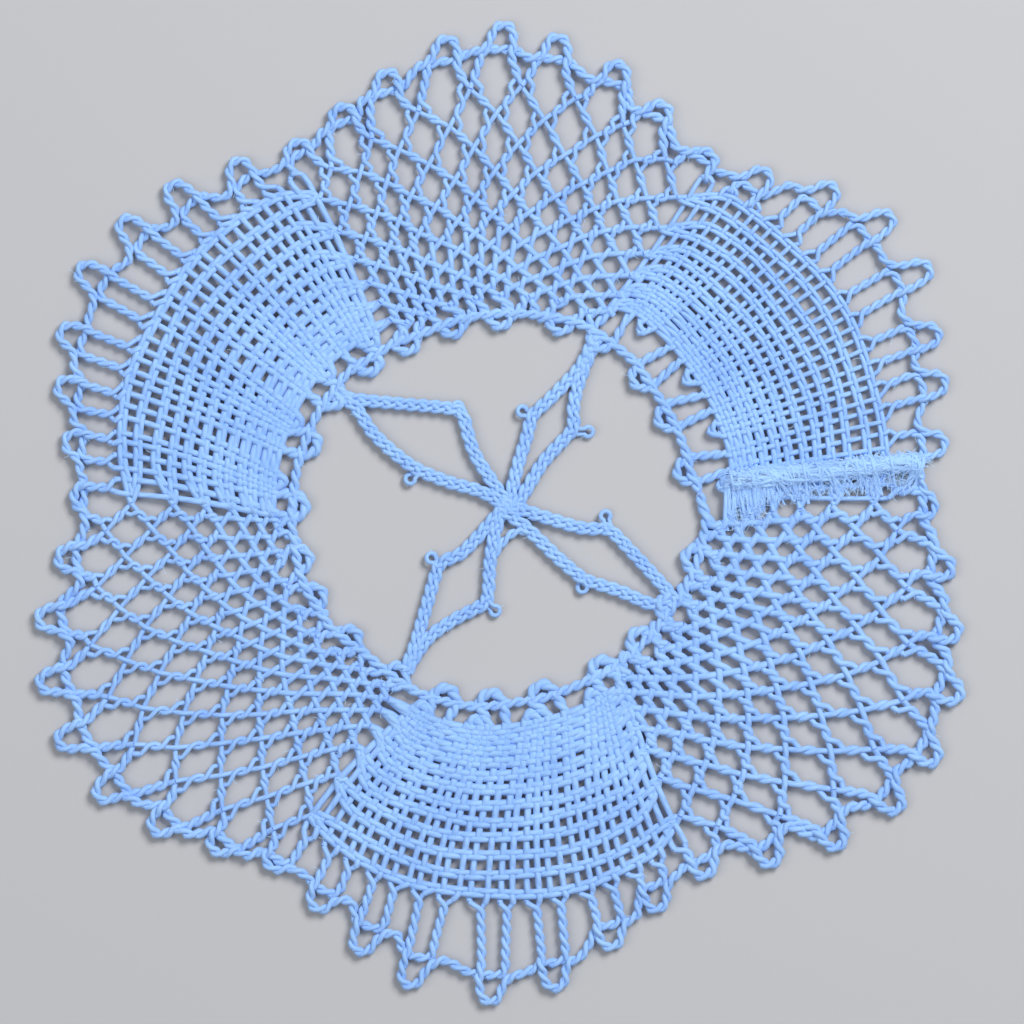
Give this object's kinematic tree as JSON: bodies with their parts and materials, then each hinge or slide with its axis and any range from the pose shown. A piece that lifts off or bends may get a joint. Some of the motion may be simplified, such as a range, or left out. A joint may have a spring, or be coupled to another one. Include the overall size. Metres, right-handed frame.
{
  "type": "bobbin lace piece",
  "caption": "Round flat piece of bobbin lace: a lobed ring of cloth stitch and net with picots on both edges, and a cross of plaits in its open middle.",
  "frame": {"origin": "on the underside, below the middle of the whole piece", "axes": "+Z out of the lace's face; +Y towards the crown of the net fan that has the join a quarter turn to its right; +X towards the join of the start and the finish"},
  "size_m": [0.0889, 0.0946, 0.0016],
  "materials": {
    "thread": "matte pale thread with a faint sheen"
  },
  "bodies": {
    "root": {"lace": "thread"}
  },
  "joints": []
}
